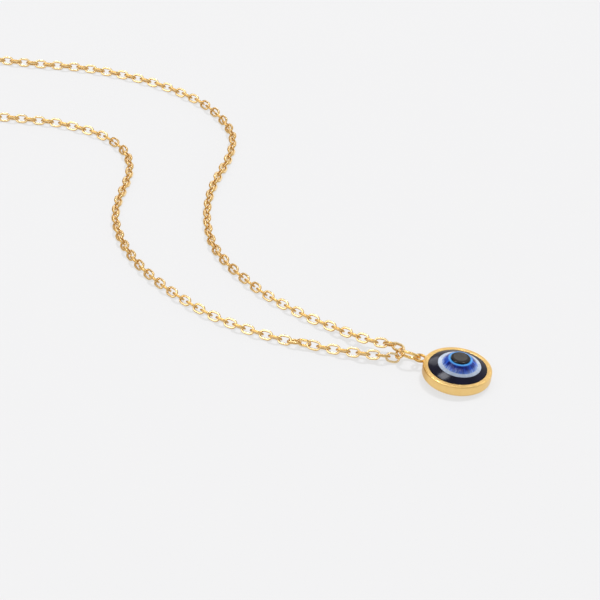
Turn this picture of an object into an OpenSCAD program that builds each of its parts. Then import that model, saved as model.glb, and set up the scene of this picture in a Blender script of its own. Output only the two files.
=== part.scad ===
// Evil eye pendant on a fine cable chain, laid out as a closed loop on a flat surface.
// Lengths are millimetres. +Z is up, +X runs from the clasp towards the pendant.

/* [Setting] */
// Diameter of the gold setting at its widest
setting_d = 12; // [11:0.5:20]
// Height of the setting from its flat back to its rim
setting_h = 2.1; // [1.7:0.1:3]
// Width of the rim around the eye
rim_w = 0.9; // [0.7:0.1:1.4]
// Thickness of the rim where it laps over the eye
rim_t = 0.35; // [0.25:0.05:0.6]
// How far the rim laps over the edge of the eye
rim_lap = 0.2; // [0.1:0.05:0.35]
// Thickness of the closed back
back_t = 0.4; // [0.3:0.05:0.7]
// Radius of the setting's rounded lower edge
foot_round = 0.7; // [0.3:0.05:0.8]
// Radius of the setting's rounded upper edge
rim_round = 0.25; // [0.1:0.05:0.5]
// Tilt of the pendant where it lies, its loop side lifted, in degrees
lean = 3; // [0:0.5:5]
// Direction from the eye to the loop, seen from above, in degrees
loop_heading = 154; // [140:1:170]

/* [Loop and jump ring] */
// Wire of the loop that is soldered to the setting
loop_wire = 0.5; // [0.4:0.05:0.6]
// Outer diameter of the soldered loop
loop_d = 2.4; // [2.2:0.1:3.2]
// Depth that the loop is sunk into the setting by its solder
solder = 0.2; // [0.1:0.05:0.3]
// Wire of the jump ring
ring_wire = 0.55; // [0.4:0.05:0.6]
// Outer diameter of the jump ring
ring_d = 4; // [3.8:0.1:5]

/* [Eye] */
// Width of the dark outer band
dark_band = 1.35; // [0.8:0.05:1.6]
// Width of the white ring
white_band = 0.65; // [0.4:0.05:1]
// Width of the deep blue ring
blue_band = 0.95; // [0.4:0.05:1]
// Width of the light blue ring
light_band = 0.45; // [0.3:0.05:0.7]
// Height of the white ring's outer edge over the rim
dome_rise = 0.55; // [0.3:0.05:1]
// Height of the raised middle over the white ring
boss_rise = 1.05; // [0.7:0.05:1.5]
// Step from the light blue ring up to the pupil
pupil_step = 0.25; // [0.1:0.05:0.35]
// Share of the light blue ring that lies on the flat top
flat_share = 0.8; // [0.4:0.05:0.9]
// Distance of the rings from the middle of the setting
eye_shift = 0.25; // [0:0.05:0.3]
// Depth that each colour is let into the one around it
inlay = 0.3; // [0.2:0.05:0.4]
// Gap left between the colours of the eye and round its seat
layer_gap = 0.05; // [0.03:0.01:0.08]

/* [Chain] */
// Diameter of the chain's wire
link_wire = 0.38; // [0.3:0.02:0.42]
// Outer width of a link
link_w = 2; // [1.9:0.05:2.3]
// Length of a link inside
link_inner = 1.92; // [1.86:0.02:2.2]
// Play left between two links that pull on each other
link_play = 0.15; // [0.12:0.01:0.2]
// Link of the near strand at which the chain has a quarter turn
twist_link = 9; // [5:2:21]

/* [Clasp] */
// Wire of the ring at the chain's end
end_wire = 0.45; // [0.4:0.05:0.5]
// Outer diameter of the ring at the chain's end
end_d = 3; // [2.8:0.1:3.6]
// Thickness of the clasp
clasp_wire = 0.7; // [0.6:0.05:0.8]
// Length of the clasp's body
clasp_len = 7; // [6:0.5:9]
// Width of the clasp's body
clasp_w = 4.2; // [4:0.1:5]
// Outer diameter of the small eye at the clasp's end
clasp_eye_d = 2.6; // [2.5:0.1:3]
// Wire of the small eye at the clasp's end
clasp_eye_wire = 0.45; // [0.4:0.05:0.5]

/* [Hidden] */
$fn = 48;

// The chain's route in plan, from the link that carries the pendant along the far strand,
// round the clasp and back along the near strand
ROUTE = [
    [18.1, -15.5], [18.05, -13.95], [13.85, -13.35], [10.65, -11.55], [7.5, -9.3], [4.5, -7.25],
    [1.4, -5.2], [-2.0, -2.5], [-6.0, 1.0], [-9.5, 5.0], [-13.5, 10.5], [-16.5, 16.5],
    [-18.0, 23.0], [-18.5, 30.0], [-18.0, 37.0], [-17.0, 42.0], [-15.5, 48.5], [-15.0, 54.5],
    [-15.5, 58.5], [-18.0, 64.5], [-22.0, 70.0], [-25.5, 73.0], [-29.0, 75.5], [-33.5, 78.0],
    [-38.5, 80.0], [-43.5, 81.5], [-48.5, 82.5], [-55.5, 83.0], [-61.5, 83.5], [-70.0, 84.5],
    [-82.0, 85.0], [-94.0, 85.0], [-106.0, 84.0], [-115.4, 80.5], [-119.9, 75.0],
    [-120.4, 68.5], [-115.4, 63.0], [-106.0, 60.5], [-94.0, 60.0], [-82.0, 60.0],
    [-70.0, 60.0], [-60.5, 60.0], [-55.0, 59.5], [-51.0, 59.0], [-45.0, 57.0], [-40.0, 54.0],
    [-36.0, 49.0], [-34.5, 43.5], [-34.5, 38.5], [-35.0, 34.5], [-35.5, 30.5], [-35.5, 24.5],
    [-34.0, 18.0], [-31.5, 12.0], [-28.5, 7.0], [-24.5, 2.0], [-20.0, -2.5], [-16.5, -5.5],
    [-12.0, -8.5], [-8.0, -10.5], [-3.0, -12.5], [2.6, -14.05], [6.1, -14.95], [9.5, -15.75],
    [13.0, -16.55], [16.4, -16.5]];
// Point of the route that the clasp lies at
CLASP_POINT = 34;
// Samples of the smooth curve between two points of the route
STEPS = 10;

// A smooth closed curve through the points: a Catmull-Rom spline with root-of-length knots
function knot(a, b) = sqrt(norm(b - a));
function mix(a, b, ta, tb, t) = (a * (tb - t) + b * (t - ta)) / (tb - ta);
function curve(p, q, r, s, u) =
    let (t1 = knot(p, q), t2 = t1 + knot(q, r), t3 = t2 + knot(r, s), t = t1 + u * (t2 - t1),
         a1 = mix(p, q, 0, t1, t), a2 = mix(q, r, t1, t2, t), a3 = mix(r, s, t2, t3, t),
         b1 = mix(a1, a2, 0, t2, t), b2 = mix(a2, a3, t1, t3, t))
    mix(b1, b2, t1, t2, t);
n_route = len(ROUTE);
function route_at(i) = ROUTE[(i + n_route) % n_route];
PATH = [for (i = [0:n_route - 1], k = [0:STEPS - 1])
        curve(route_at(i - 1), route_at(i), route_at(i + 1), route_at(i + 2), k / STEPS)];
n_path = len(PATH);
RUN = [for (i = 0, s = 0; i <= n_path;
            s = s + norm(PATH[(i + 1) % n_path] - PATH[i % n_path]), i = i + 1) s];
X_TABLE = [for (i = [0:n_path]) [RUN[i], PATH[i % n_path][0]]];
Y_TABLE = [for (i = [0:n_path]) [RUN[i], PATH[i % n_path][1]]];
route_len = RUN[n_path];
clasp_run = RUN[CLASP_POINT * STEPS];
// Place in plan at a distance along the chain, negative on the near strand
function place(s) = let (t = s < 0 ? s + route_len : s) [lookup(t, X_TABLE), lookup(t, Y_TABLE)];

// Sizes that follow from the ones above
link_rc = (link_w - link_wire) / 2;
link_half = (link_inner + link_wire) / 2 - link_rc;
end_rc = (end_d - end_wire) / 2;
clasp_rc = (clasp_w - clasp_wire) / 2;
clasp_half = (clasp_len - clasp_w) / 2;
clasp_eye_rc = (clasp_eye_d - clasp_eye_wire) / 2;
clasp_eye_x = clasp_len / 2 + clasp_eye_rc - clasp_eye_wire / 2;
end_pitch = end_d - 2 * end_wire - link_play;
clasp_in_x = clasp_len / 2 - clasp_wire;
clasp_out_x = clasp_eye_x + clasp_eye_rc - clasp_eye_wire / 2;
clasp_pitch = clasp_in_x + clasp_out_x - link_play;

// The links share the route evenly; link 0 carries the pendant
link_pitch = link_inner - link_play;
links_len = route_len - end_pitch - clasp_pitch;
n_links = round(links_len / link_pitch);
pitch = links_len / n_links;
far_last = round((clasp_run - end_pitch) / pitch - 0.5);
near_last = n_links - 1 - far_last;

// The links that the jump ring holds up lie at chosen points too, from the second on the near
// strand to the second on the far one: middle, heading, tilt and turn about the link's length
HELD = [
    [[14.85, -16.55, 1.2], 5, -8, -37],
    [[16.55, -16.6, 0.95], 4, -12, 54],
    [[17.8, -15.8, 1.4], 83, 8, 150],
    [[17.45, -14.5, 1.75], 182, 23, -17],
    [[15.95, -14.05, 2], 144, -25, 46]];
// The jump ring's middle, and the direction and height that its face is turned to
RING_AT = [19.5, -16.7, 1.7];
RING_TURN = 70;
RING_TIP = 41;
// The soldered loop's middle in plan
LOOP_AT = [21.25, -17.3];
held_last = 2;
function is_held(k) = abs(k) <= held_last;
function held(k) = HELD[k + held_last];
function along(h, t) = [cos(h) * cos(t), sin(h) * cos(t), sin(t)];
// Turn of a link about its own length: the links lie alternately on one side and the other
SIDE = 45;
TWIST = 60;
function odd(k) = k % 2 != 0;
function roll(k) =
    is_held(k) ? held(k)[3] :
    k > 0 ? (odd(k) ? -SIDE : SIDE) :
    k >= -twist_link ? (odd(k) ? SIDE : -SIDE) :
    k == -twist_link - 1 ? SIDE + TWIST :
    k == -twist_link - 2 ? SIDE + 2 * TWIST : (odd(k) ? -SIDE : SIDE);
// Height of a link's middle when it lies on the surface
function rest_z(k) = link_rc * abs(sin(roll(k))) + link_wire / 2;
// Height over its rest that the chain is held at: number of links from the pendant, height
LIFT = [[-11, 0], [-9, 0.05], [-7, 0.15], [-5, 0.3], [-3, 0.55], [3, 1.05], [5, 0.75], [7, 0.4],
        [9, 0.15], [11, 0.05], [13, 0]];
// Joint between link k and link k + 1
function joint_s(k) = (k + 0.5) * pitch;
function joint_z(k) =
    max(is_held(k) ? 0 : rest_z(k), is_held(k + 1) ? 0 : rest_z(k + 1)) + lookup(k + 0.5, LIFT);
function at(s, z) = let (p = place(s)) [p[0], p[1], z];
function joint(k) =
    k == far_last ? at(joint_s(k), end_join_z) :
    k == -near_last - 1 ? at(joint_s(k), clasp_z) : at(joint_s(k), joint_z(k));
// A link's two ends along its axis
function link_a(k) = is_held(k) ? held(k)[0] - along(held(k)[1], held(k)[2]) / 2 : joint(k - 1);
function link_b(k) = is_held(k) ? held(k)[0] + along(held(k)[1], held(k)[2]) / 2 : joint(k);

// Heights where the end ring and the clasp join the chain
clasp_z = link_wire + link_play / 2 + clasp_wire / 2;
end_join_z = rest_z(far_last) + link_wire / 2;
// The end ring and the clasp lean on the links: shift along, across and up, and turns
END_SHIFT = [0.05, 0.25, 0.95];
END_ROLL = 31;
END_TURN = 10;
CLASP_SHIFT = [-0.1, 0.05, 1];
CLASP_ROLL = -14;

// Direction of a piece from one joint to the next, as heading and tilt
function heading(v) = atan2(v[1], v[0]);
function tilt(v) = asin(v[2] / norm(v));

// Sizes of the pendant and its place, which follows from its loop's
set_r = setting_d / 2;
open_r = set_r - rim_w;
seat_r = open_r + rim_lap;
loop_rc = (loop_d - loop_wire) / 2;
loop_dist = set_r + loop_rc + loop_wire / 2 - solder;
ring_rc = (ring_d - ring_wire) / 2;
loop_local = [loop_dist * cos(loop_heading), loop_dist * sin(loop_heading), setting_h / 2];
foot_r = set_r - foot_round;
pendant_z = foot_r * sin(lean) + foot_round * (1 - cos(lean));
function leant(p) = [p[0] * cos(lean) + p[2] * sin(lean), p[1], p[2] * cos(lean) - p[0] * sin(lean)];
pendant_at = [LOOP_AT[0] - leant(loop_local)[0], LOOP_AT[1] - leant(loop_local)[1], pendant_z];

// Reach of a link in a direction u, from its ends' joints and its roll
function cross_unit(a) = let (c = cross([0, 0, 1], a)) c / norm(c);
function reach(k, u) =
    let (p = link_a(k), q = link_b(k), a = (q - p) / norm(q - p), b0 = cross_unit(a),
         b = b0 * cos(roll(k)) + cross(a, b0) * sin(roll(k)), ua = u * a, ub = u * b)
    u * (p + q) / 2 + link_half * abs(ua) + link_rc * sqrt(ua * ua + ub * ub) + link_wire / 2;
function mid_reach(u) =
    let (n = leant([0, 0, 1]), un = u * n, low = leant([0, 0, foot_round]),
         high = leant([0, 0, setting_h - rim_round]))
    max(u * (pendant_at + low) + foot_r * sqrt(1 - un * un) + foot_round,
        u * (pendant_at + high) + (set_r - rim_round) * sqrt(1 - un * un) + rim_round);
x_high = mid_reach([1, 0, 0]);
y_low = -mid_reach([0, -1, 0]);
x_low = -max([for (k = [-near_last:far_last]) reach(k, [-1, 0, 0])]);
y_high = max([for (k = [1:far_last]) reach(k, [0, 1, 0])]);
origin = [(x_low + x_high) / 2, (y_low + y_high) / 2, 0];

// A closed ring of round wire round the Z axis
module wire_ring(rc, wire) rotate_extrude() translate([rc, 0]) circle(d = wire);

// A long ring of round wire: two half rings and two straights, its length along X
module long_ring(half, rc, wire) {
    for (m = [0, 180])
        rotate([0, 0, m]) {
            translate([half, 0, 0]) rotate([0, 0, -90])
                rotate_extrude(angle = 180) translate([rc, 0]) circle(d = wire);
            translate([-half, rc, 0]) rotate([0, 90, 0]) cylinder(d = wire, h = 2 * half);
        }
}

// Puts a piece that lies along X between two joints, turned about its length
module between(p, q, turn) {
    v = q - p;
    translate((p + q) / 2 - origin) rotate([turn, -tilt(v), heading(v)]) children();
}

module link(k) between(link_a(k), link_b(k), roll(k)) long_ring(link_half, link_rc, link_wire);

// The pendant's own frame: Z through the middle of the eye, zero at the flat back
module pendant_frame() translate(pendant_at - origin) rotate([0, lean, 0]) children();

rim_z = setting_h;
seat_top = rim_z - rim_t;

module setting_outline() {
    translate([foot_r, foot_round]) circle(r = foot_round);
    translate([set_r - rim_round, rim_z - rim_round]) circle(r = rim_round);
    polygon([[0, 0], [foot_r, 0], [set_r, foot_round], [set_r, rim_z - rim_round],
             [set_r - rim_round, rim_z], [0, rim_z]]);
}

module setting() {
    color("goldenrod") pendant_frame() union() {
        difference() {
            rotate_extrude() intersection() {
                setting_outline();
                square([setting_d, setting_d]);
            }
            translate([0, 0, back_t]) cylinder(r = seat_r, h = seat_top - back_t);
            translate([0, 0, seat_top - layer_gap]) cylinder(r = open_r, h = rim_t + 2 * layer_gap);
        }
        difference() {
            translate(loop_local) wire_ring(loop_rc, loop_wire);
            translate([0, 0, back_t]) cylinder(r = set_r - rim_round, h = rim_z);
        }
    }
}

// Radii of the eye's colours, from the opening inwards
white_r = open_r - dark_band;
blue_r = white_r - white_band;
light_r = blue_r - blue_band;
pupil_r = light_r - light_band;
// The dome: a sphere through the rim's edge and the white ring's outer edge
dome_c = (open_r * open_r + rim_z * rim_z - white_r * white_r - pow(rim_z + dome_rise, 2))
    / (-2 * dome_rise);
dome_r = sqrt(open_r * open_r + pow(rim_z - dome_c, 2));
function dome_z(r) = dome_c + sqrt(dome_r * dome_r - r * r);
// The raised middle: a sphere through the white ring's inner edge, cut flat on top
boss_foot = dome_z(blue_r);
boss_top = boss_foot + boss_rise;
flat_r = pupil_r + light_band * flat_share;
boss_c = (blue_r * blue_r + boss_foot * boss_foot - flat_r * flat_r - boss_top * boss_top)
    / (2 * (boss_foot - boss_top));
boss_r = sqrt(blue_r * blue_r + pow(boss_foot - boss_c, 2));
function boss_z(r) = boss_c + sqrt(boss_r * boss_r - r * r);
white_floor = boss_foot - 2 * inlay;
blue_floor = boss_foot - inlay;
light_floor = boss_z(light_r) - inlay;
pupil_floor = boss_top - inlay;

module disc(r, low, high) translate([eye_shift, 0, low]) cylinder(r = r, h = high - low);
module dome() translate([0, 0, dome_c]) sphere(r = dome_r, $fn = 96);
module boss() translate([eye_shift, 0, boss_c]) sphere(r = boss_r, $fn = 96);

module eye_dark() {
    color("#14142c") pendant_frame() difference() {
        union() {
            translate([0, 0, back_t + layer_gap])
                cylinder(r = seat_r - layer_gap, h = seat_top - back_t - 2 * layer_gap);
            intersection() {
                dome();
                translate([0, 0, back_t + inlay])
                    cylinder(r = open_r - layer_gap, h = setting_d / 2);
            }
        }
        disc(white_r, white_floor, rim_z + setting_d / 2);
    }
}

module eye_white() {
    color("#dfe6f2") pendant_frame() difference() {
        intersection() {
            dome();
            disc(white_r - layer_gap, white_floor + layer_gap, rim_z + setting_d / 2);
        }
        disc(blue_r, blue_floor, rim_z + setting_d / 2);
    }
}

module eye_blue() {
    color("#1f3fb4") pendant_frame() difference() {
        intersection() {
            boss();
            disc(blue_r - layer_gap, blue_floor + layer_gap, boss_top);
        }
        disc(light_r, light_floor, rim_z + setting_d / 2);
    }
}

module eye_light() {
    color("#55a8ea") pendant_frame() difference() {
        intersection() {
            boss();
            disc(light_r - layer_gap, light_floor + layer_gap, boss_top);
        }
        disc(pupil_r, pupil_floor, rim_z + setting_d / 2);
    }
}

module pupil() {
    color("#1a1a1c") pendant_frame()
        disc(pupil_r - layer_gap, pupil_floor + layer_gap, boss_top + pupil_step);
}

module jump_ring() {
    color("gold") translate(RING_AT - origin) rotate([0, 90 - RING_TIP, RING_TURN])
        wire_ring(ring_rc, ring_wire);
}

module chain_far() color("gold") for (k = [0:far_last]) link(k);

module chain_near() color("gold") for (k = [1:near_last]) link(-k);

// The ring at the chain's end and the clasp lie between the last links of the two strands
end_a = joint(far_last);
end_b = at(joint_s(far_last) + end_pitch, clasp_z);
clasp_b = joint(-near_last - 1);
clasp_head = heading(clasp_b - end_b);
function shifted(p, q, by) =
    let (m = (p + q) / 2, c = cos(clasp_head), s = sin(clasp_head))
    [m[0] + by[0] * c - by[1] * s, m[1] + by[0] * s + by[1] * c, by[2]];

module end_ring() {
    color("goldenrod") translate(shifted(end_a, end_b, END_SHIFT) - origin)
        rotate([END_ROLL, 0, heading(end_b - end_a) + END_TURN]) wire_ring(end_rc, end_wire);
}

// The clasp: a long closed hook with a small eye, in one piece
module clasp() {
    color("goldenrod") translate(shifted(end_b, clasp_b, CLASP_SHIFT) - origin)
        rotate([CLASP_ROLL, 0, clasp_head]) translate([(clasp_in_x - clasp_out_x) / 2, 0, 0]) {
            long_ring(clasp_half, clasp_rc, clasp_wire);
            translate([clasp_eye_x, 0, 0]) wire_ring(clasp_eye_rc, clasp_eye_wire);
        }
}

setting();
eye_dark();
eye_white();
eye_blue();
eye_light();
pupil();
jump_ring();
chain_far();
chain_near();
end_ring();
clasp();
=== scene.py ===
"""Looks of an evil eye pendant on a fine cable chain that lies on a pale floor. Lengths are metres."""
import math

import bmesh
import bpy
import numpy as np
from mathutils import Matrix, Vector


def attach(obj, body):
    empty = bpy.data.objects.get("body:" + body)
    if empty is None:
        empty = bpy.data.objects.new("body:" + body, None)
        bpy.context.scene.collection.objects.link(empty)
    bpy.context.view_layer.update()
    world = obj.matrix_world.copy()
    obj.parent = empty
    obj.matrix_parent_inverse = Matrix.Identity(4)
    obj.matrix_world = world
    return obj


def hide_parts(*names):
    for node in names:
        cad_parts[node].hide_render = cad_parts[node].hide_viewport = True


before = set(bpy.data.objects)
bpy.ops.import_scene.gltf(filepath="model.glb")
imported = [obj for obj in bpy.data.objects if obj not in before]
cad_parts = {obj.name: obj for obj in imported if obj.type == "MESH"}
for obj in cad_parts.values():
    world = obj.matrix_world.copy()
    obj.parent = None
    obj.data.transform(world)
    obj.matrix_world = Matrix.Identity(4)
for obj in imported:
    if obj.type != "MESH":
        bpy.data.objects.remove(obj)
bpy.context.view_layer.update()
scene = bpy.context.scene
MM = 0.001
TO_MM = 1000.0

# places and sizes, in millimetres; ORIGIN is where the chain's route has its zero
ORIGIN = (43.47, -29.744)
LOOP_AT = (ORIGIN[0] + 21.25, ORIGIN[1] - 17.3)
RING_AT = (ORIGIN[0] + 19.5, ORIGIN[1] - 16.7, 1.7)
LEAN, LOOP_HEADING = 3.0, 154.0
SET_R, SET_H, OPEN_R = 6.0, 2.1, 5.1
FOOT_ROUND, LIP_ROUND = 0.7, 0.25
LOOP_RC, LOOP_WIRE, LOOP_DIST = 0.95, 0.5, 7.0
EYE_SHIFT, DOME_RISE, BOSS_RISE, PUPIL_STEP = 0.25, 0.55, 1.05, 0.25
WHITE_R, BLUE_R, LIGHT_R, FLAT_R, PUPIL_R = 3.75, 3.1, 2.15, 2.06, 1.7
# a link's centre line and its wire, which is pressed flat along the link's sides
LINK_HALF, LINK_RC, LINK_WIRE = 0.34, 0.81, 0.38
SIDE_IN, SIDE_WIDE, SIDE_TALL = 0.1, 0.40, 0.47
# links this near to the jump ring's middle are pressed less, to this share of the others
BY_RING, BY_RING_PRESS = 2.0, 0.9
RING_RC, RING_WIRE = 1.725, 0.55
END_RC, END_WIRE = 1.275, 0.45
CLASP_HALF, CLASP_RC, CLASP_WIRE = 1.4, 1.75, 0.7
CLASP_EYE_X, CLASP_EYE_RC, CLASP_EYE_WIRE = 4.35, 1.075, 0.45

# camera
CAM_ELEV, CAM_ROLL = math.radians(34), math.radians(3)
CAM_DIST, CAM_F, CAM_LOOK = 409.4, 2285.0, (*ORIGIN, 0.76)


def make_camera():
    c, s = math.cos(CAM_ROLL), math.sin(CAM_ROLL)
    right, up = Vector((1, 0, 0)), Vector((0, math.sin(CAM_ELEV), math.cos(CAM_ELEV)))
    back = Vector((0, -math.cos(CAM_ELEV), math.sin(CAM_ELEV)))
    data = bpy.data.cameras.new("camera")
    data.sensor_width = 36
    data.lens = CAM_F / 600 * 36
    data.clip_start, data.clip_end = 0.01, 20
    cam = bpy.data.objects.new("camera", data)
    scene.collection.objects.link(cam)
    m = Matrix((right * c + up * s, up * c - right * s, back)).transposed().to_4x4()
    m.translation = (Vector(CAM_LOOK) + back * CAM_DIST) * MM
    cam.matrix_world = m
    scene.camera = cam


make_camera()


# node helpers
class Nodes:
    def __init__(self, name):
        self.mat = bpy.data.materials.new(name)
        self.mat.use_nodes = True
        self.tree = self.mat.node_tree
        self.bsdf = self.tree.nodes["Principled BSDF"]

    def add(self, kind, **values):
        n = self.tree.nodes.new("ShaderNode" + kind)
        for key, v in values.items():
            if key in n.inputs:
                n.inputs[key].default_value = v
            else:
                setattr(n, key, v)
        return n

    def join(self, a, b):
        self.tree.links.new(a, b)

    def math(self, op, a, b=None, clamp=False):
        n = self.tree.nodes.new("ShaderNodeMath")
        n.operation, n.use_clamp = op, clamp
        for i, v in enumerate((a, b)):
            if v is None:
                continue
            if isinstance(v, (int, float)):
                n.inputs[i].default_value = v
            else:
                self.join(v, n.inputs[i])
        return n.outputs[0]

    def ramp(self, fac, stops):
        n = self.tree.nodes.new("ShaderNodeValToRGB")
        e = n.color_ramp.elements
        while len(e) < len(stops):
            e.new(0.5)
        for el, (p, col) in zip(e, stops):
            el.position, el.color = p, (*col, 1)
        self.join(fac, n.inputs[0])
        return n.outputs[0]

    def mix(self, fac, a, b):
        n = self.tree.nodes.new("ShaderNodeMix")
        n.data_type = "RGBA"
        for socket, v in ((n.inputs[0], fac), (n.inputs[6], a), (n.inputs[7], b)):
            if isinstance(v, (int, float)):
                socket.default_value = v
            elif isinstance(v, tuple):
                socket.default_value = (*v, 1)
            else:
                self.join(v, socket)
        return n.outputs[2]

    def coords(self):
        return self.add("TexCoord").outputs["Object"]


def gold(name, colour, rough, grain, brushed=False):
    """Polished gold: warm metal with faint cloudy roughness and a fine surface bump."""
    n = Nodes(name)
    at = n.coords()
    cloud = n.add("TexNoise", Scale=900.0, Detail=4.0, Roughness=0.6)
    n.join(at, cloud.inputs["Vector"])
    fine = n.add("TexNoise", Scale=grain, Detail=2.0, Roughness=0.5)
    n.join(brush_coords(n) if brushed else at, fine.inputs["Vector"])
    deep = tuple(c * k for c, k in zip(colour, (0.95, 0.88, 0.74)))
    tone = n.mix(cloud.outputs[0], deep, colour)
    if brushed:
        # painted shade: the brushed setting turns a darker, warmer gold on the side of its loop
        tone = n.mix(painted_shade_by_the_loop(n), tone, LOOP_SHADE_COLOUR)
    n.join(tone, n.bsdf.inputs["Base Color"])
    n.bsdf.inputs["Metallic"].default_value = 1.0
    spread_rough = n.math("MULTIPLY", fine.outputs[0], rough * ROUGH_SPREAD)
    n.join(n.math("ADD", spread_rough, rough * ROUGH_LOW), n.bsdf.inputs["Roughness"])
    strength, depth = BRUSHED_BUMP if brushed else POLISHED_BUMP
    bump = n.add("Bump", Strength=strength, Distance=depth)
    n.join(fine.outputs[0], bump.inputs["Height"])
    n.join(bump.outputs[0], n.bsdf.inputs["Normal"])
    return n.mat


def painted_shade_by_the_loop(n):
    """Share of the painted shade on the setting, a darker, warmer gold on the side of its loop."""
    sep = n.add("SeparateXYZ")
    n.join(n.coords(), sep.inputs[0])
    x, y = (n.math("MULTIPLY", out, TO_MM) for out in sep.outputs[:2])
    away = n.math("SUBTRACT", n.math("MULTIPLY", x, -1.0), n.math("MULTIPLY", y, 0.05))
    grown = n.math("DIVIDE", n.math("SUBTRACT", away, LOOP_SHADE_FROM), LOOP_SHADE_OVER, clamp=True)
    return n.math("MULTIPLY", grown, LOOP_SHADE_MOST)


def brush_coords(n):
    """Coordinates drawn out round the setting's axis, so that noise on them runs as brush lines."""
    sep = n.add("SeparateXYZ")
    n.join(n.coords(), sep.inputs[0])
    x, y, z = (n.math("MULTIPLY", out, TO_MM) for out in sep.outputs)
    turn = n.math("MULTIPLY", n.math("ARCTAN2", y, x), 2.0)
    r = n.math("SQRT", n.math("ADD", n.math("MULTIPLY", x, x), n.math("MULTIPLY", y, y)))
    v = n.add("CombineXYZ")
    n.join(n.math("ADD", turn, n.math("MULTIPLY", z, 0.8)), v.inputs[0])
    n.join(n.math("MULTIPLY", z, 4.0), v.inputs[1])
    n.join(n.math("MULTIPLY", r, 4.0), v.inputs[2])
    return v.outputs[0]


def glass_paint(name, build, rough=0.08, level=0.25):
    """Opaque coloured glass: the colour comes from build(nodes), under its own gloss."""
    n = Nodes(name)
    n.join(build(n), n.bsdf.inputs["Base Color"])
    n.bsdf.inputs["Roughness"].default_value = rough
    n.bsdf.inputs["Specular IOR Level"].default_value = level
    return n.mat


def shade(*colour):
    """A colour as it is painted on the glass, under this scene's strong key light."""
    return tuple(PAINT * v for v in colour)


# nearer to the middle than this, in millimetres, directions round the eye aren't told apart
MIDDLE_R = 0.2


def polar(n):
    """Place seen from the eye's middle, and distance from it, in millimetres in its own frame."""
    sep = n.add("SeparateXYZ")
    n.join(n.coords(), sep.inputs[0])
    x = n.math("SUBTRACT", n.math("MULTIPLY", sep.outputs[0], TO_MM), EYE_SHIFT)
    y = n.math("MULTIPLY", sep.outputs[1], TO_MM)
    r = n.math("SQRT", n.math("ADD", n.math("MULTIPLY", x, x), n.math("MULTIPLY", y, y)))
    return x, y, r


def streaks(n, x, y, r, k, seed, detail=3.0):
    """Noise drawn out along the radius. It varies round the eye, faster for a larger k."""
    inv = n.math("DIVIDE", k, n.math("MAXIMUM", r, MIDDLE_R))
    v = n.add("CombineXYZ")
    n.join(n.math("MULTIPLY", x, inv), v.inputs[0])
    n.join(n.math("MULTIPLY", y, inv), v.inputs[1])
    n.join(n.math("ADD", n.math("MULTIPLY", r, 0.7), seed), v.inputs[2])
    t = n.add("TexNoise", Scale=1.0, Detail=detail, Roughness=0.65)
    n.join(v.outputs[0], t.inputs["Vector"])
    return t.outputs[0]


def dark_colour(n):
    t = n.add("TexNoise", Scale=500.0, Detail=3.0)
    n.join(n.coords(), t.inputs["Vector"])
    return n.ramp(t.outputs[0], [(0.3, shade(0.003, 0.003, 0.009)), (0.75, shade(0.007, 0.007, 0.022))])


def white_colour(n):
    x, y, r = polar(n)
    s = streaks(n, x, y, r, 9.0, 4.0)
    face = n.ramp(s, [(0.25, shade(0.30, 0.36, 0.48)), (0.6, shade(0.44, 0.51, 0.62))])
    # painted shade: the ring is painted darker towards its front
    front = n.math("MULTIPLY", n.math("DIVIDE", y, r), -0.55, clamp=True)
    return n.mix(front, face, shade(0.16, 0.2, 0.28))


def iris_colour(n):
    x, y, r = polar(n)
    out = n.math("DIVIDE", n.math("SUBTRACT", r, LIGHT_R), BLUE_R - LIGHT_R)
    deep = n.ramp(out, [(0.0, shade(0.012, 0.06, 0.36)), (0.12, shade(0.002, 0.009, 0.13)),
                        (0.45, shade(0.003, 0.015, 0.24)), (0.8, shade(0.014, 0.07, 0.52)),
                        (1.0, shade(0.10, 0.22, 0.64))])
    # painted light: the sides are painted a brighter blue than the front and the back
    side = n.math("POWER", n.math("ABSOLUTE", n.math("DIVIDE", x, n.math("MAXIMUM", r, MIDDLE_R))), 1.5)
    wide = n.ramp(streaks(n, x, y, r, 3.5, 5.0), [(0.4, (0.0, 0.0, 0.0)), (0.6, (1.0, 1.0, 1.0))])
    base = n.mix(n.math("MULTIPLY", n.math("MULTIPLY", side, wide), 0.85), deep, shade(0.02, 0.14, 0.85))
    dark = n.ramp(streaks(n, x, y, r, 12.0, 1.0), [(0.44, (1.0, 1.0, 1.0)), (0.60, (0.0, 0.0, 0.0))])
    base = n.mix(n.math("MULTIPLY", dark, 0.6), base, shade(0.002, 0.004, 0.06))
    edge = n.math("DIVIDE", n.math("SUBTRACT", out, 0.35), 0.5, clamp=True)
    flakes = n.ramp(streaks(n, x, y, r, 13.0, 8.0, 4.0), [(0.52, (0.0, 0.0, 0.0)), (0.60, (1.0, 1.0, 1.0))])
    patch = n.ramp(streaks(n, x, y, r, 2.6, 3.0), [(0.36, (0.25, 0.25, 0.25)), (0.56, (1.0, 1.0, 1.0))])
    pale = n.math("MULTIPLY", n.math("MULTIPLY", flakes, patch), n.math("MULTIPLY", edge, 0.85))
    tips = n.ramp(streaks(n, x, y, r, 16.0, 6.0), [(0.38, (0.0, 0.0, 0.0)), (0.55, (1.0, 1.0, 1.0))])
    outer = n.math("DIVIDE", n.math("SUBTRACT", out, 0.55), 0.3, clamp=True)
    # the pale tips are the glass's own flecks, painted more strongly at the sides as painted light
    share = n.math("ADD", n.math("MULTIPLY", side, 0.7), 0.1)
    pale = n.math("MAXIMUM", pale, n.math("MULTIPLY", n.math("MULTIPLY", tips, share), outer))
    return n.mix(pale, base, shade(0.38, 0.54, 0.88))


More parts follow.
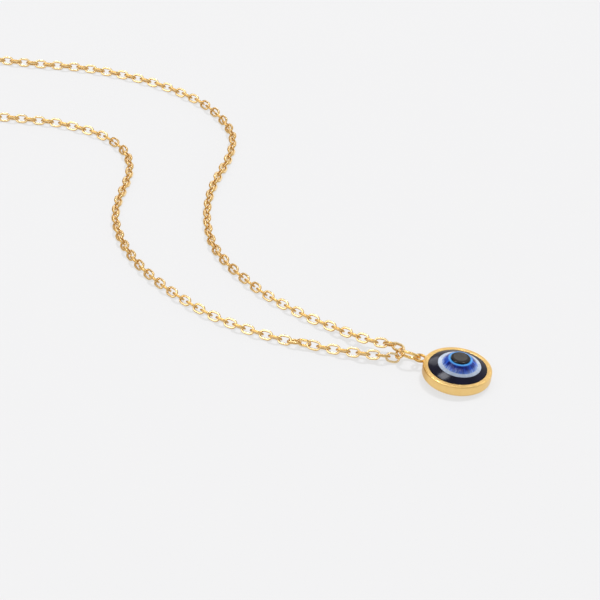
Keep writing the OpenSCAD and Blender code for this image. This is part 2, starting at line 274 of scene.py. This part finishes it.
def light_colour(n):
    x, y, r = polar(n)
    s = streaks(n, x, y, r, 6.0, 2.0)
    face = n.ramp(s, [(0.3, shade(0.045, 0.24, 0.62)), (0.65, shade(0.09, 0.34, 0.74))])
    edge = 0.16
    soft = n.math("DIVIDE", n.math("SUBTRACT", r, LIGHT_R - edge), edge, clamp=True)
    return n.mix(n.math("MULTIPLY", soft, 0.75), face, shade(0.012, 0.06, 0.36))


def pupil_colour(n):
    """Satin grey-black with a painted reflection: a grey patch set towards the back, and painted shade to
    black towards the edge, most at the front.
    """
    x, y, _ = polar(n)
    t = n.add("TexNoise", Scale=1500.0, Detail=3.0)
    n.join(n.coords(), t.inputs["Vector"])
    face = n.ramp(t.outputs[0], [(0.3, shade(0.034, 0.034, 0.034)), (0.7, shade(0.052, 0.052, 0.052))])
    # the painted reflection's grey patch: its middle lies this far back, and beyond its radius painted
    # shade fades it to black
    shift, reflection_patch_r, fade = 0.25, 1.1, 0.25
    back = n.math("SUBTRACT", y, shift)
    off = n.math("SQRT", n.math("ADD", n.math("MULTIPLY", x, x), n.math("MULTIPLY", back, back)))
    painted_shade_rim = n.math("DIVIDE", n.math("SUBTRACT", off, reflection_patch_r), fade, clamp=True)
    return n.mix(painted_shade_rim, face, shade(0.002, 0.002, 0.003))


GOLD = (0.93, 0.66, 0.28)
# a bump's strength, and its depth in metres
BRUSHED_BUMP, POLISHED_BUMP = (0.6, 0.00003), (0.05, 0.000004)
# a metal's roughness starts at the first share of its named value and spreads over the second
ROUGH_LOW, ROUGH_SPREAD = 0.7, 0.6
# the setting's painted shade, a darker, warmer gold on the side of its loop: its colour, where it starts,
# the millimetres it takes to grow, and its most
LOOP_SHADE_COLOUR, LOOP_SHADE_FROM, LOOP_SHADE_OVER, LOOP_SHADE_MOST = (0.62, 0.36, 0.09), 5.1, 0.7, 0.85
# share of each glass colour that is painted
PAINT = 0.7
M_SETTING = gold("setting_gold", GOLD, 0.32, 3.0, brushed=True)
M_RING = gold("ring_gold", GOLD, 0.20, 20000.0)
# the chain's gold in lit and shaded copies: paler on the wires' flat faces, and a darker copy on their
# sides as painted shade
M_CHAIN = gold("chain_gold", (0.97, 0.78, 0.47), 0.24, 20000.0)
M_CHAIN_SHADED_EDGE = gold("chain_shaded_edge_gold", (0.76, 0.51, 0.20), 0.42, 20000.0)
M_DARK = glass_paint("eye_dark_glass", dark_colour, rough=0.14, level=0.13)
M_WHITE = glass_paint("eye_white_glass", white_colour)
M_BLUE = glass_paint("eye_blue_glass", iris_colour)
M_LIGHT = glass_paint("eye_light_glass", light_colour)
M_PUPIL = glass_paint("pupil_glass", pupil_colour, rough=0.09, level=0.3)


# mesh helpers
def smooth_object(name, bm, mat, where=None):
    mesh = bpy.data.meshes.new(name)
    bmesh.ops.recalc_face_normals(bm, faces=bm.faces)
    bm.to_mesh(mesh)
    bm.free()
    for p in mesh.polygons:
        p.use_smooth = True
    mesh.materials.append(mat)
    ob = bpy.data.objects.new(name, mesh)
    scene.collection.objects.link(ob)
    if where is not None:
        ob.matrix_world = where
    return ob


def arc(cx, cz, r, a0, a1, n):
    """Points of an arc in the r-z plane, angles in degrees."""
    return [(cx + r * math.cos(math.radians(a0 + (a1 - a0) * i / n)),
             cz + r * math.sin(math.radians(a0 + (a1 - a0) * i / n))) for i in range(n + 1)]


def lathe(profile, segments, shift=0.0, height=None):
    """A solid of revolution round Z from (radius, height) pairs in mm, from axis to axis.

    Where a pair's height is None, height(distance from the setting's own axis) gives it.
    """
    bm = bmesh.new()
    turns = [2 * math.pi * k / segments for k in range(segments)]

    def point(r, z, t):
        x, y = shift + r * math.cos(t), r * math.sin(t)
        return bm.verts.new(Vector((x, y, height(math.hypot(x, y)) if z is None else z)) * MM)

    rings = [[point(r, z, t) for t in (turns if r > 1e-6 else turns[:1])] for r, z in profile]
    for a, b in zip(rings, rings[1:]):
        for k in range(segments):
            m = (k + 1) % segments
            if len(a) == 1 and len(b) == 1:
                break
            if len(a) == 1:
                bm.faces.new((a[0], b[k], b[m]))
            elif len(b) == 1:
                bm.faces.new((a[k], b[0], a[m]))
            else:
                bm.faces.new((a[k], b[k], b[m], a[m]))
    return bm


def tube(bm, path, frames, sections, shaded_edge_slot=0):
    """A closed tube: each section's (across, up) points carried to its place on the path.

    Faces on the section's sides, where it runs more up than across, take the material shaded_edge_slot, a
    darker copy of the metal as painted shade.
    """
    rings = []
    for p, (u, v), section in zip(path, frames, sections):
        rings.append([bm.verts.new(p + u * a + v * b) for a, b in section])
    n = len(sections[0])
    for i in range(len(rings)):
        a, b = rings[i], rings[(i + 1) % len(rings)]
        for k in range(n):
            m = (k + 1) % n
            face = bm.faces.new((a[k], a[m], b[m], b[k]))
            (x0, y0), (x1, y1) = sections[i][k], sections[i][m]
            if abs(y1 - y0) > abs(x1 - x0):
                face.material_index = shaded_edge_slot


def super_section(w, h, power, n):
    out = []
    for k in range(n):
        t = 2 * math.pi * (k + 0.5) / n
        c, s = math.cos(t), math.sin(t)
        q = (abs(c) ** power + abs(s) ** power) ** (-1 / power)
        out.append((q * c * w / 2, q * s * h / 2))
    return out


# chain
def islands(ob):
    """Middle and axes (length, width, normal) of each loose link of a CAD chain node."""
    me = ob.data
    co = np.zeros(len(me.vertices) * 3)
    me.vertices.foreach_get("co", co)
    co = co.reshape(-1, 3)
    me.calc_loop_triangles()
    tri = np.zeros(len(me.loop_triangles) * 3, np.int64)
    me.loop_triangles.foreach_get("vertices", tri)
    key, idx = np.unique(np.round(co * 1e7).astype(np.int64), axis=0, return_inverse=True)
    tri = idx.ravel()[tri].reshape(-1, 3)
    label = np.arange(len(key))
    while True:
        low = label[tri].min(axis=1)
        new = label.copy()
        for j in range(3):
            np.minimum.at(new, tri[:, j], low)
        new = new[new]
        if (new == label).all():
            break
        label = new
    pos = key * 1e-7
    a, b, c = pos[tri[:, 0]], pos[tri[:, 1]], pos[tri[:, 2]]
    area = np.linalg.norm(np.cross(b - a, c - a), axis=1) / 2
    mid = (a + b + c) / 3
    of = label[tri[:, 0]]
    out = []
    for k in np.unique(of):
        m = of == k
        w = area[m][:, None]
        centre = (mid[m] * w).sum(0) / w.sum()
        d = mid[m] - centre
        _, vecs = np.linalg.eigh((d * w).T @ d)
        out.append((Vector(centre), Vector(vecs[:, 2]), Vector(vecs[:, 1]), Vector(vecs[:, 0])))
    return out


def link_path(half, rc, n_arc, n_side):
    """Points of an oval's centre line with its outward direction, in the plane."""
    pts = []
    for side in (1, -1):
        for i in range(n_arc):
            t = math.radians(-90 + 180 * i / n_arc)
            out = (side * math.cos(t), side * math.sin(t))
            pts.append((side * half + rc * out[0], rc * out[1], *out))
        for i in range(n_side):
            x = half - 2 * half * i / n_side
            pts.append((side * x, side * rc, 0.0, side * 1.0))
    return pts


def link_sections(path, flat):
    """Round wire at the link's ends, pressed to a tall flat-sided bar along its sides."""
    out = []
    for _, _, _, oy in path:
        side = flat * abs(oy) ** 1.6
        wide = LINK_WIRE + (SIDE_WIDE - LINK_WIRE) * side
        tall = LINK_WIRE + (SIDE_TALL - LINK_WIRE) * side
        ring = super_section(wide * MM, tall * MM, 2.4 + 1.6 * side, 20)
        out.append([(a - SIDE_IN * side * MM, b) for a, b in ring])
    return out


def build_chain(name, node):
    bm = bmesh.new()
    path = link_path(LINK_HALF * MM, LINK_RC * MM, 16, 4)
    pressed = link_sections(path, 1.0)
    by_ring = link_sections(path, BY_RING_PRESS)
    ring = Vector(RING_AT) * MM
    for centre, u, v, w in islands(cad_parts[node]):
        pts = [centre + u * x + v * y for x, y, _, _ in path]
        frames = [(u * ox + v * oy, w) for _, _, ox, oy in path]
        near = (centre - ring).length < BY_RING * MM
        tube(bm, pts, frames, by_ring if near else pressed, 1)
    ob = smooth_object(name, bm, M_CHAIN)
    # the second slot is the darker copy of the chain's gold, painted shade on the wires' sides
    ob.data.materials.append(M_CHAIN_SHADED_EDGE)
    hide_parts(node)
    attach(ob, "root")


build_chain("links_far", "chain_far")
build_chain("links_near", "chain_near")

# pendant: its loop hangs at LOOP_AT, and its rounded foot touches the floor on the far side
lean, turn = math.radians(LEAN), math.radians(LOOP_HEADING)
LOOP_LOCAL = (LOOP_DIST * math.cos(turn), LOOP_DIST * math.sin(turn), SET_H / 2)
PEND = Vector((LOOP_AT[0] - LOOP_LOCAL[0] * math.cos(lean) - LOOP_LOCAL[2] * math.sin(lean),
               LOOP_AT[1] - LOOP_LOCAL[1],
               (SET_R - FOOT_ROUND) * math.sin(lean) + FOOT_ROUND * (1 - math.cos(lean)))) * MM
PENDANT = Matrix.Translation(PEND) @ Matrix.Rotation(lean, 4, "Y")
SEG = 160


def sphere_through(r0, z0, r1, z1):
    """Middle height and radius of the sphere round the axis through two points of its outline."""
    c = (r0 * r0 + z0 * z0 - r1 * r1 - z1 * z1) / (2 * (z0 - z1))
    return c, math.hypot(r0, z0 - c)


DOME_C, DOME_R = sphere_through(OPEN_R, SET_H, WHITE_R, SET_H + DOME_RISE)
FOOT_Z = DOME_C + math.sqrt(DOME_R ** 2 - BLUE_R ** 2)
BOSS_TOP = FOOT_Z + BOSS_RISE
BOSS_C, BOSS_R = sphere_through(BLUE_R, FOOT_Z, FLAT_R, BOSS_TOP)


def eye_piece(name, profile, mat, node, height=None, shift=EYE_SHIFT):
    ob = smooth_object(name, lathe(profile, SEG, shift, height), mat, PENDANT)
    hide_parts(node)
    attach(ob, "root")


def dome_z(r):
    return DOME_C + math.sqrt(DOME_R ** 2 - r * r)


def boss_z(r):
    return BOSS_C + math.sqrt(BOSS_R ** 2 - r * r)


def spread(r0, r1, n):
    return [r0 + (r1 - r0) * i / n for i in range(n + 1)]


def build_eye():
    """The eye's five glass layers, each let a few tenths of a millimetre into the one below."""
    # the dark dome is centred in the setting, so it is lathed round the setting's own axis
    low, seat = 0.5, SET_H - 0.4
    prof = [(0, low), (OPEN_R + 0.1, low), (OPEN_R + 0.1, seat - 0.05), (OPEN_R - 0.05, seat)]
    prof += [(r, dome_z(r)) for r in spread(OPEN_R - 0.05, WHITE_R - 0.3, 24)] + [(0, SET_H + 0.3)]
    eye_piece("eye_body", prof, M_DARK, "eye_dark", shift=0.0)
    low = FOOT_Z - 0.5
    prof = [(0, low), (WHITE_R - 0.05, low), (WHITE_R, low + 0.08)]
    prof += [(r, None) for r in spread(WHITE_R, BLUE_R - 0.05, 8)]
    prof += [(BLUE_R - 0.06, FOOT_Z - 0.3), (0, FOOT_Z - 0.3)]
    eye_piece("eye_ring_white", prof, M_WHITE, "eye_white", lambda r: dome_z(r) + 0.015)
    low = FOOT_Z - 0.25
    prof = [(0, low), (BLUE_R - 0.01, low), (BLUE_R, FOOT_Z)]
    prof += [(r, boss_z(r)) for r in spread(BLUE_R, LIGHT_R, 14)]
    prof += [(LIGHT_R - 0.01, boss_z(LIGHT_R) - 0.25), (0, boss_z(LIGHT_R) - 0.25)]
    eye_piece("eye_iris", prof, M_BLUE, "eye_blue")
    low = boss_z(LIGHT_R) - 0.2
    prof = [(0, low), (LIGHT_R - 0.01, low)] + [(r, boss_z(r)) for r in spread(LIGHT_R, FLAT_R, 8)]
    prof += [(PUPIL_R, BOSS_TOP), (PUPIL_R - 0.01, BOSS_TOP - 0.2), (0, BOSS_TOP - 0.2)]
    eye_piece("eye_ring_light", prof, M_LIGHT, "eye_light")
    # the pupil's top falls off softly towards its edge
    edge, crown, fall = PUPIL_R - 0.02, 0.35, 0.08
    top = BOSS_TOP + PUPIL_STEP
    prof = [(0, BOSS_TOP - 0.15), (edge, BOSS_TOP - 0.15)]
    prof += [(edge - crown + crown * math.cos(t), top - fall + fall * math.sin(t))
             for t in spread(0.0, math.pi / 2, 14)] + [(0, top)]
    eye_piece("eye_pupil", prof, M_PUPIL, "pupil")


def build_setting():
    """The setting's wall, lip and back in one lathe, with its soldered loop."""
    lip = 0.06
    prof = [(0, 0)] + arc(SET_R - FOOT_ROUND, FOOT_ROUND, FOOT_ROUND, -90, 0, 14)
    prof += arc(SET_R - LIP_ROUND, SET_H - LIP_ROUND, LIP_ROUND, 0, 90, 16)
    prof += arc(OPEN_R + lip, SET_H - lip, lip, 90, 180, 6)
    seat = SET_H - 0.35
    prof += [(OPEN_R, seat), (OPEN_R + 0.2, seat - 0.02), (OPEN_R + 0.2, 0.45), (0, 0.45)]
    bm = lathe(prof, SEG)
    centre = Vector(LOOP_LOCAL) * MM
    n = 56
    pts, frames = [], []
    for i in range(n):
        t = 2 * math.pi * i / n
        d = Vector((math.cos(t), math.sin(t), 0))
        pts.append(centre + d * LOOP_RC * MM)
        frames.append((d, Vector((0, 0, 1))))
    tube(bm, pts, frames, [super_section(LOOP_WIRE * MM, LOOP_WIRE * MM, 2.0, 16)] * n)
    ob = smooth_object("setting_shell", bm, M_SETTING, PENDANT)
    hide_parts("setting")
    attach(ob, "root")


build_eye()
build_setting()

# jump ring, end ring and clasp
def ring_into(bm, centre, u, v, w, half, rc, wire, n_arc):
    """A round wire ring, drawn out by half along u, added to the mesh."""
    path = link_path(half * MM, rc * MM, n_arc, 4)
    pts = [centre + u * x + v * y for x, y, _, _ in path]
    frames = [(u * ox + v * oy, w) for _, _, ox, oy in path]
    tube(bm, pts, frames, [super_section(wire * MM, wire * MM, 2.0, 18)] * len(path))


def plain_ring(name, node, rc, wire):
    (centre, u, v, w), = islands(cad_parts[node])
    bm = bmesh.new()
    ring_into(bm, centre, u, v, w, 0.0, rc, wire, 40)
    finish_metal(smooth_object(name, bm, M_RING), node)


def finish_metal(ob, node):
    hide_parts(node)
    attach(ob, "root")


def build_clasp():
    (centre, u, v, w), = islands(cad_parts["clasp"])
    co = [vert.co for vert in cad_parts["clasp"].data.vertices]
    along = [(p - centre).dot(u) for p in co]
    if max(along) + min(along) < 0:
        u = -u
        along = [-a for a in along]
    body = centre + u * (min(along) + (CLASP_HALF + CLASP_RC + CLASP_WIRE / 2) * MM)
    bm = bmesh.new()
    ring_into(bm, body, u, v, w, CLASP_HALF, CLASP_RC, CLASP_WIRE, 32)
    ring_into(bm, body + u * CLASP_EYE_X * MM, u, v, w, 0.0, CLASP_EYE_RC, CLASP_EYE_WIRE, 32)
    finish_metal(smooth_object("clasp_body", bm, M_RING), "clasp")


plain_ring("jump_ring_wire", "jump_ring", RING_RC, RING_WIRE)
plain_ring("end_ring_wire", "end_ring", END_RC, END_WIRE)
build_clasp()

# floor, light
def build_floor():
    bm = bmesh.new()
    bmesh.ops.create_grid(bm, x_segments=8, y_segments=8, size=4)
    mesh = bpy.data.meshes.new("floor")
    bm.to_mesh(mesh)
    bm.free()
    ob = bpy.data.objects.new("floor", mesh)
    scene.collection.objects.link(ob)
    n = Nodes("floor")
    t = n.add("TexNoise", Scale=60.0, Detail=3.0)
    n.join(n.coords(), t.inputs["Vector"])
    paint = n.ramp(t.outputs[0], [(0.3, FLOOR_PAINT), (0.7, tuple(v * 1.01 for v in FLOOR_PAINT))])
    n.join(paint, n.bsdf.inputs["Base Color"])
    n.bsdf.inputs["Roughness"].default_value = 0.9
    n.bsdf.inputs["Specular IOR Level"].default_value = 0.0
    n.bsdf.inputs["Emission Color"].default_value = (1, 1, 1, 1)
    n.bsdf.inputs["Emission Strength"].default_value = FLOOR_GLOW
    mesh.materials.append(n.mat)


def area(name, direction, distance, size, power, colour=(1, 1, 1), glossy=True):
    """An area light aimed at the pendant from a direction, in metres and watts."""
    data = bpy.data.lights.new(name, "AREA")
    data.shape, data.size, data.size_y = "RECTANGLE", size[0], size[1]
    data.energy, data.color = power, colour
    ob = bpy.data.objects.new(name, data)
    scene.collection.objects.link(ob)
    ob.visible_glossy = glossy
    d = Vector(direction).normalized()
    ob.location = PEND + d * distance
    ob.rotation_mode = "QUATERNION"
    ob.rotation_quaternion = (-d).to_track_quat("-Z", "Y")


def build_world():
    """A white studio, dimmer overhead, warmer and dimmer to the left, brightest behind."""
    w = bpy.data.worlds.new("studio")
    scene.world = w
    w.use_nodes = True
    t = w.node_tree
    co = t.nodes.new("ShaderNodeTexCoord")
    sep = t.nodes.new("ShaderNodeSeparateXYZ")
    t.links.new(co.outputs["Generated"], sep.inputs[0])

    def ramp(socket, stops):
        n = t.nodes.new("ShaderNodeValToRGB")
        e = n.color_ramp.elements
        while len(e) < len(stops):
            e.new(0.5)
        for el, (p, v) in zip(e, stops):
            el.position, el.color = p, (*v, 1)
        t.links.new(socket, n.inputs[0])
        return n.outputs[0]

    def maths(op, a, b):
        n = t.nodes.new("ShaderNodeMath")
        n.operation = op
        t.links.new(a, n.inputs[0])
        if isinstance(b, float):
            n.inputs[1].default_value = b
        else:
            t.links.new(b, n.inputs[1])
        return n.outputs[0]

    height = ramp(sep.outputs[2], WORLD_HEIGHT)
    across = maths("ADD", maths("MULTIPLY", sep.outputs[0], 0.42), 0.5)
    side = ramp(maths("SUBTRACT", across, maths("MULTIPLY", sep.outputs[1], 0.12)), WORLD_SIDE)
    back = ramp(maths("ADD", maths("MULTIPLY", sep.outputs[1], 0.5), 0.5), WORLD_BACK)

    def times(a, b):
        n = t.nodes.new("ShaderNodeMix")
        n.data_type, n.blend_type = "RGBA", "MULTIPLY"
        n.inputs[0].default_value = 1.0
        t.links.new(a, n.inputs[6])
        t.links.new(b, n.inputs[7])
        return n.outputs[2]

    t.links.new(times(times(height, side), back), t.nodes["Background"].inputs[0])
    t.nodes["Background"].inputs[1].default_value = WORLD_POWER


FLOOR_PAINT, FLOOR_GLOW = (0.1, 0.101, 0.106), 0.69
WORLD_POWER = 1.0
WORLD_HEIGHT = [(0.0, (1.0, 1.0, 1.0)), (0.5, (0.95, 0.95, 0.95)), (1.0, (0.78, 0.78, 0.78))]
WORLD_SIDE = [(0.15, (0.46, 0.36, 0.24)), (0.5, (0.8, 0.78, 0.76)), (0.75, (0.95, 0.95, 0.95))]
WORLD_BACK = [(0.2, (0.55, 0.55, 0.55)), (0.5, (0.85, 0.85, 0.85)), (0.85, (1.2, 1.2, 1.2))]
build_floor()
build_world()
# the key casts the shadows and isn't seen in the gloss; the others are mostly reflections
area("key", (0.17, 0.33, 0.93), 5.0, (0.6, 0.6), 260.0, glossy=False)
area("window", (-0.2, 0.34, 0.92), 1.5, (0.3, 0.34), 5.6, (0.94, 0.95, 1.0))
area("left", (-0.68, -0.22, 0.7), 1.5, (1.0, 0.8), 5.5, (1.0, 0.98, 0.94))
area("front_left", (-0.1, -0.6, 0.79), 1.5, (1.4, 0.5), 3.6, (1.0, 0.98, 0.94))
area("low_back", (-0.24, 0.86, 0.45), 1.5, (0.34, 0.6), 1.7, (0.88, 0.9, 1.0))
area("spark", (0.22, 0.6, 0.76), 1.5, (0.1, 0.07), 0.5, (1.0, 0.95, 0.85))
scene.view_settings.view_transform = "Standard"
